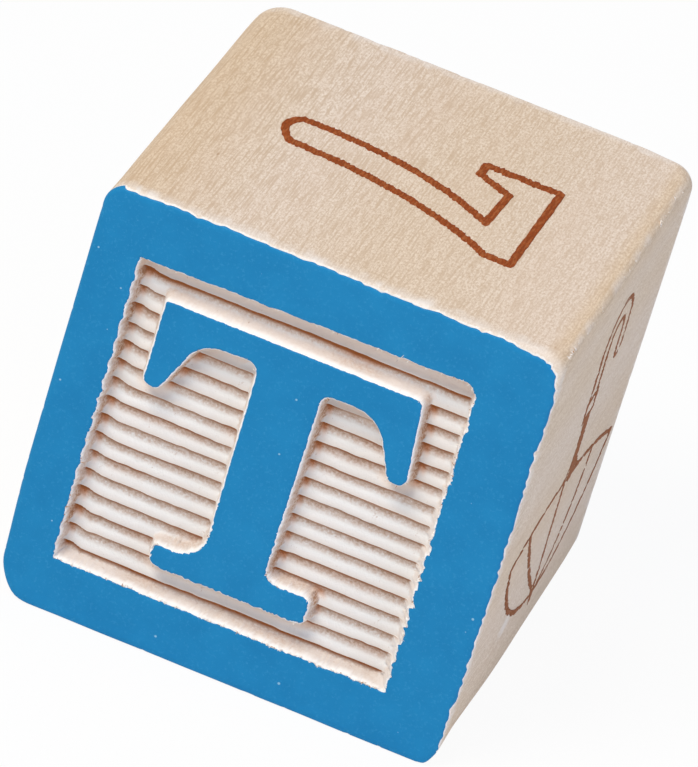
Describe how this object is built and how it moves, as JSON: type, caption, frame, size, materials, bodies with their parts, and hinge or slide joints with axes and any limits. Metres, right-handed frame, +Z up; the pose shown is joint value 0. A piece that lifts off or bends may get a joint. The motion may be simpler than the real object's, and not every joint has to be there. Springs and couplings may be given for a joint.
{
  "type": "wooden alphabet block",
  "caption": "Solid wooden alphabet block: a cube with painted raised letters on fluted end-grain panels and ink outline prints on its plain sides.",
  "frame": {"origin": "middle of the bottom face, on the surface that the block stands on", "axes": "+Z up; -Y out of the front face with the raised letter; +X to the right seen from the front; the grain runs along Y"},
  "size_m": [0.0444, 0.0444, 0.0444],
  "materials": {
    "basswood": "bare sanded basswood, unvarnished",
    "blue_paint": "satin water-based toy paint, rolled on",
    "brown_ink": "matt printing ink soaked into the wood"
  },
  "bodies": {
    "root": {"block_body": "basswood", "front_frame_paint": "blue_paint", "front_letter_paint": "blue_paint", "back_frame_paint": "blue_paint", "back_letter_paint": "blue_paint", "top_numeral_ink": "brown_ink", "left_numeral_ink": "brown_ink", "right_umbrella_ink": "brown_ink", "bottom_umbrella_ink": "brown_ink"}
  },
  "joints": []
}
